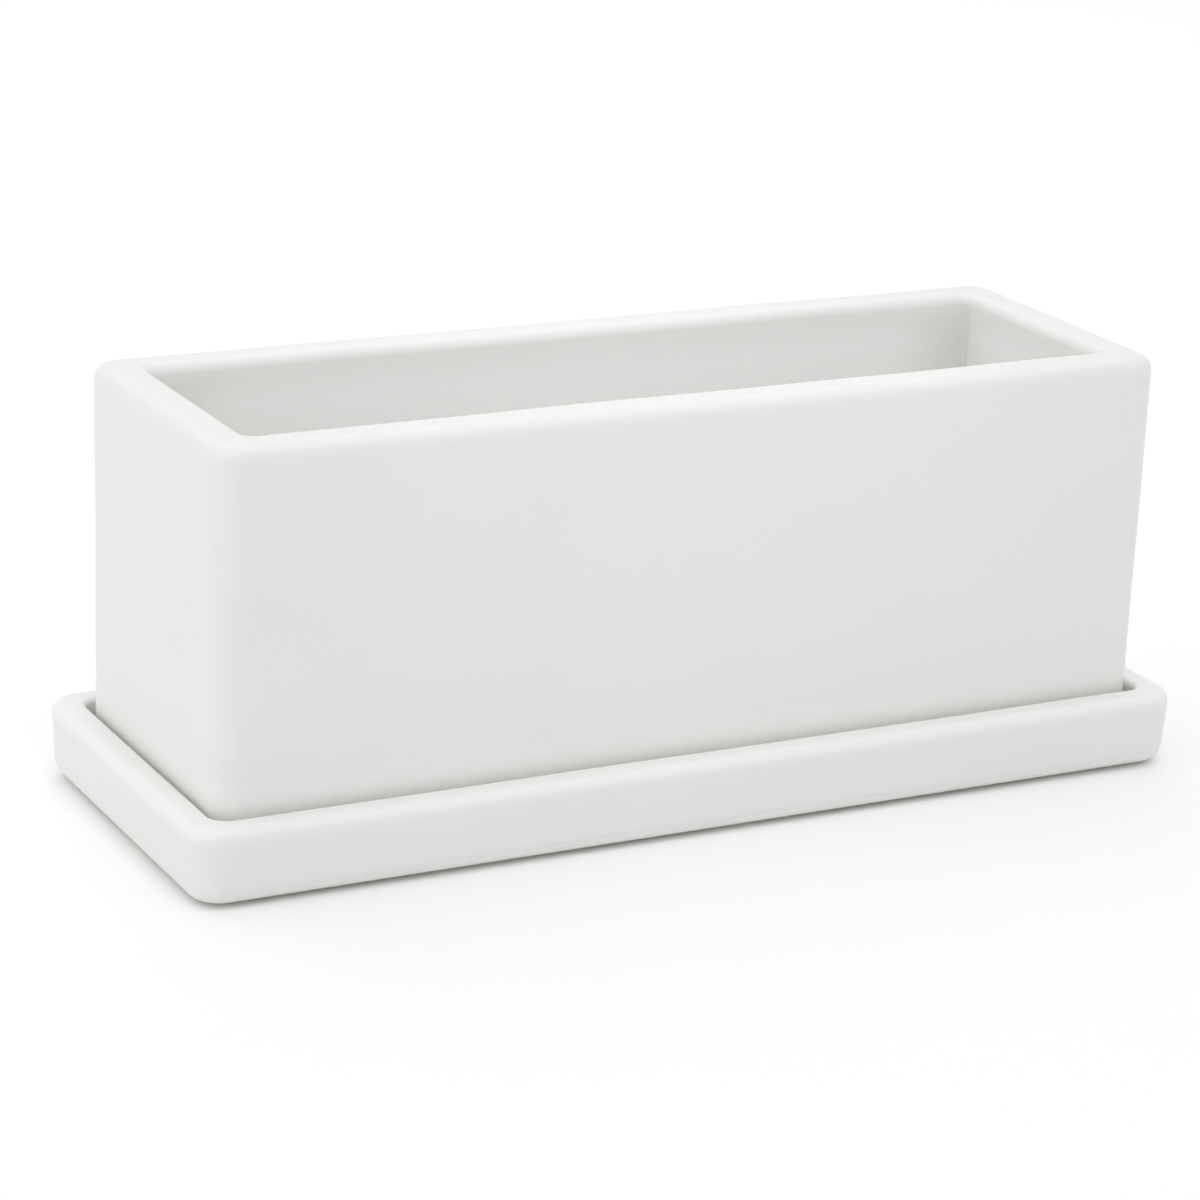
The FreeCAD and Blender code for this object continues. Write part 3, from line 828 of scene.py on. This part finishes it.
def glaze_material(glaze):
    """White satin glaze with a drifting tone, and painted light and shade: paler inside, low on the outer
    walls and over the rim, darker in hollows and inner corners. The glaze is wiped off the foot."""
    material, shader = new_material("satin_glaze")
    tree = material.node_tree
    surface = add_variation(tree, GLAZE_SCALES)
    # Painted shade: the masks for darker hollows, by their bend, and darker corners of the long inner walls
    hollow = add_range(tree, add_reading(tree, "bend"), *HOLLOW_BENDS)
    hollow_painted_shade = add_math(tree, "MAXIMUM", hollow, add_reading(tree, "in_corner"))
    # Painted light: the inside is lighter than the outer walls
    shade = add_mix(tree, add_reading(tree, "inside"), colour(glaze.white), colour(glaze.inner))
    # Painted light: lighter low on the outer walls
    shade = add_mix(tree, add_reading(tree, "foot_painted_light_mask"), shade, colour(glaze.foot_painted_light))
    # Painted light: lighter over the rim
    shade = add_mix(tree, add_reading(tree, "near_rim"), shade, colour(glaze.rim_painted_light))
    # Painted shade: darker in hollows and inner corners
    shade = add_mix(tree, hollow_painted_shade, shade, colour(glaze.hollow_painted_shade))
    drift = add_math(tree, "MULTIPLY", surface["Drift"], glaze.mottle)
    shade = add_mix(tree, drift, shade, colour(glaze.drifted), "MULTIPLY")
    flecked = add_math(tree, "MULTIPLY", surface["Fleck"], glaze.bare_height / 2)
    strayed = add_math(tree, "ADD", flecked, add_reading(tree, "above_foot"))
    bare = add_range(tree, strayed, glaze.bare_height * WIPED_EDGE, glaze.bare_height)
    clay = add_mix(tree, surface["Fleck"], colour(glaze.clay), colour(glaze.clay, CLAY_FLECK))
    tree.links.new(add_mix(tree, bare, shade, clay), shader.inputs["Base Color"])
    sheen = (glaze.roughness - SATIN_STRAY, glaze.roughness + SATIN_STRAY)
    satin = add_range(tree, surface["Drift"], 0.0, 1.0, *sheen)
    rough = add_mix(tree, bare, satin, CLAY_ROUGHNESS, kind="FLOAT")
    tree.links.new(rough, shader.inputs["Roughness"])
    tree.links.new(add_bump(tree, surface["Ripple"], glaze.peel), shader.inputs["Normal"])
    return material


def moulded_material(name, finish, scales):
    """A moulded material: a tone that drifts a little and a fine grain in the surface."""
    material, shader = new_material(name)
    tree = material.node_tree
    surface = add_variation(tree, scales)
    tone = add_mix(tree, surface["Drift"], colour(finish.tone), colour(finish.tone, MOULDED_DRIFT))
    tree.links.new(tone, shader.inputs["Base Color"])
    sheen = (finish.roughness - MOULDED_STRAY, finish.roughness + MOULDED_STRAY)
    rough = add_range(tree, surface["Fleck"], 0.0, 1.0, *sheen)
    tree.links.new(rough, shader.inputs["Roughness"])
    tree.links.new(add_bump(tree, surface["Ripple"], finish.grain), shader.inputs["Normal"])
    return material


def floor_material(stage):
    """A plain pale matte floor."""
    material, shader = new_material("pale_floor")
    shader.inputs["Base Color"].default_value = colour(stage.floor_tint)
    shader.inputs["Roughness"].default_value = 1.0
    shader.inputs["Specular IOR Level"].default_value = 0.0
    return material


# Stage


def add_camera(stage):
    """The camera on its target: forwards from yaw and pitch, then tilted about the view by the roll."""
    yaw, pitch, roll = stage.yaw, stage.pitch, stage.roll
    ahead = Vector((math.sin(yaw) * math.cos(pitch), math.cos(yaw) * math.cos(pitch), -math.sin(pitch)))
    level = Vector((math.cos(yaw), -math.sin(yaw), 0.0))
    upright = level.cross(ahead)
    right = level * math.cos(roll) + upright * math.sin(roll)
    above = right.cross(ahead)
    eye = Vector(stage.target) - ahead * stage.distance
    camera = bpy.data.objects.new("camera", bpy.data.cameras.new("camera"))
    camera.matrix_world = Matrix((right, above, -ahead)).transposed().to_4x4()
    camera.location = eye
    camera.data.lens = stage.lens
    camera.data.sensor_width = SENSOR_WIDTH
    camera.data.clip_end = stage.floor_size * 2
    bpy.context.scene.collection.objects.link(camera)
    bpy.context.scene.camera = camera


def add_softbox(name, power, angles, distance, size, aim=(0.0, 0.0, 0.0), spread=180.0):
    """A rectangular softbox that points at its aim from a distance, and that the camera doesn't see. Its
    angles are its turn from the front to the right and its rise, and a small spread narrows the beam."""
    lamp = bpy.data.lights.new(name, "AREA")
    lamp.energy = power
    lamp.shape = "RECTANGLE"
    lamp.size, lamp.size_y = size
    lamp.spread = math.radians(spread)
    turn, rise = (math.radians(part) for part in angles)
    way = Vector((math.sin(turn) * math.cos(rise), -math.cos(turn) * math.cos(rise), math.sin(rise)))
    box = bpy.data.objects.new(name, lamp)
    box.location = Vector(aim) + way * distance
    box.rotation_euler = (-way).to_track_quat("-Z", "Y").to_euler()
    box.visible_camera = False
    bpy.context.scene.collection.objects.link(box)


def add_sky(stage):
    """White light from all round, brighter overhead: sky + zenith * z^power, with z from 0 level to 1 up."""
    world = bpy.data.worlds.new("sky")
    world.use_nodes = True
    tree = world.node_tree
    way = add_node(tree, "ShaderNodeTexCoord").outputs["Generated"]
    up = add_node(tree, "ShaderNodeSeparateXYZ", {0: way}).outputs["Z"]
    above = add_math(tree, "POWER", add_math(tree, "MAXIMUM", up, 0.0), ZENITH_POWER)
    brightness = add_math(tree, "ADD", add_math(tree, "MULTIPLY", above, stage.zenith), stage.sky)
    sky = tree.nodes["Background"]
    sky.inputs["Color"].default_value = colour((1.0, 1.0, 1.0))
    tree.links.new(brightness, sky.inputs["Strength"])
    bpy.context.scene.world = world


def add_floor(stage):
    """A flat grid under the planter."""
    lines = np.linspace(-stage.floor_size / 2, stage.floor_size / 2, FLOOR_STEPS + 1)
    points = stack(lines[None, :], lines[:, None], -stage.floor_gap)
    floor = new_piece("floor", [patch(points)], floor_material(stage))


# What a user runs


def planter_settings(context):
    """The planter's settings in this scene."""
    return context.scene.planter


def shared_glaze(context):
    """The one glaze of both vessels."""
    return bpy.data.materials.get("satin_glaze") or glaze_material(planter_settings(context).glaze)


class PLANTER_OT_pot(bpy.types.Operator):
    """Make the glazed trough with its drain holes and water notches"""

    bl_idname = "planter.make_pot"
    bl_label = "Pot"

    def execute(self, context):
        sizes = planter_settings(context).pot
        low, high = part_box("pot")
        end = high.x - sizes.drain_inset
        holes = [side * end for side in SCREENS.values()]
        hole_lines = np.linspace(-1.0, 1.0, HOLE_LINES) * sizes.drain_hole * HOLE_SQUARE
        piece = cast_vessel("pot", sizes, shared_glaze(context), holes, hole_lines, notches=True)
        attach(piece, "pot")
        return {"FINISHED"}


class PLANTER_OT_saucer(bpy.types.Operator):
    """Make the glazed tray that the trough stands in"""

    bl_idname = "planter.make_saucer"
    bl_label = "Saucer"

    def execute(self, context):
        piece = cast_vessel("saucer", planter_settings(context).saucer, shared_glaze(context))
        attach(piece, "saucer")
        return {"FINISHED"}


class PLANTER_OT_screens(bpy.types.Operator):
    """Make the mesh screens over the drain holes"""

    bl_idname = "planter.make_screens"
    bl_label = "Drain screens"

    def execute(self, context):
        sizes = planter_settings(context).screens
        plastic = moulded_material("moulded_plastic", sizes, PLASTIC_SCALES)
        for side in SCREENS:
            piece = make_screen(f"drain_screen_{side}", sizes, plastic)
            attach(piece, f"screen_{side}")
        return {"FINISHED"}


class PLANTER_OT_pads(bpy.types.Operator):
    """Make the rubber pads under the saucer"""

    bl_idname = "planter.make_pads"
    bl_label = "Rubber pads"

    def execute(self, context):
        sizes = planter_settings(context).pads
        rubber = moulded_material("soft_rubber", sizes, RUBBER_SCALES)
        for corner in PADS:
            piece = make_pad(f"saucer_pad_{corner}", sizes, rubber)
            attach(piece, "saucer")
        return {"FINISHED"}


class PLANTER_OT_stage(bpy.types.Operator):
    """Make the floor, the lights and the camera"""

    bl_idname = "planter.make_stage"
    bl_label = "Stage"

    def execute(self, context):
        stage = planter_settings(context).stage
        add_floor(stage)
        add_sky(stage)
        low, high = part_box("pot")
        mouth, middle = (high.x - low.x, high.y - low.y), (0.0, 0.0, high.z)
        add_softbox("left", stage.left, LEFT_BOX_WAY, BOX_DISTANCE, BOX_SIZE)
        add_softbox("back", stage.back, BACK_BOX_WAY, BOX_DISTANCE, BOX_SIZE)
        add_softbox("fill", stage.fill, FILL_BOX_WAY, FILL_DISTANCE, mouth, middle, FILL_SPREAD)
        add_camera(stage)
        context.scene.view_settings.view_transform = "Standard"
        context.scene.view_settings.look = "None"
        context.scene.cycles.diffuse_bounces = stage.bounces
        return {"FINISHED"}


class PLANTER_PT_panel(bpy.types.Panel):
    """Lists what can be made"""

    bl_idname = "PLANTER_PT_panel"
    bl_label = "Herb planter"
    bl_space_type = "VIEW_3D"
    bl_region_type = "UI"
    bl_category = "Planter"

    def draw(self, context):
        for operator in OPERATORS:
            self.layout.operator(operator.bl_idname)
        for name in ("pot", "saucer", "screens", "pads", "glaze", "stage"):
            group = getattr(planter_settings(context), name)
            box = self.layout.box()
            box.label(text=name.capitalize())
            for key in group.bl_rna.properties.keys():
                if key not in ("name", "rna_type"):
                    box.prop(group, key)


OPERATORS = (PLANTER_OT_pot, PLANTER_OT_saucer, PLANTER_OT_screens, PLANTER_OT_pads, PLANTER_OT_stage)
SETTINGS = (
    PotSettings, SaucerSettings, ScreenSettings, PadSettings, GlazeSettings, StageSettings, PlanterSettings,
)
CLASSES = (*SETTINGS, *OPERATORS, PLANTER_PT_panel)


def register():
    """Make the classes and the planter's settings known."""
    for item in CLASSES:
        bpy.utils.register_class(item)
    bpy.types.Scene.planter = PointerProperty(type=PlanterSettings)


def unregister():
    """Take them back again."""
    del bpy.types.Scene.planter
    for item in reversed(CLASSES):
        bpy.utils.unregister_class(item)


def main():
    """Register the classes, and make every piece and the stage."""
    register()
    bpy.ops.planter.make_saucer()
    bpy.ops.planter.make_pads()
    bpy.ops.planter.make_pot()
    bpy.ops.planter.make_screens()
    bpy.ops.planter.make_stage()


if __name__ == "__main__":
    main()
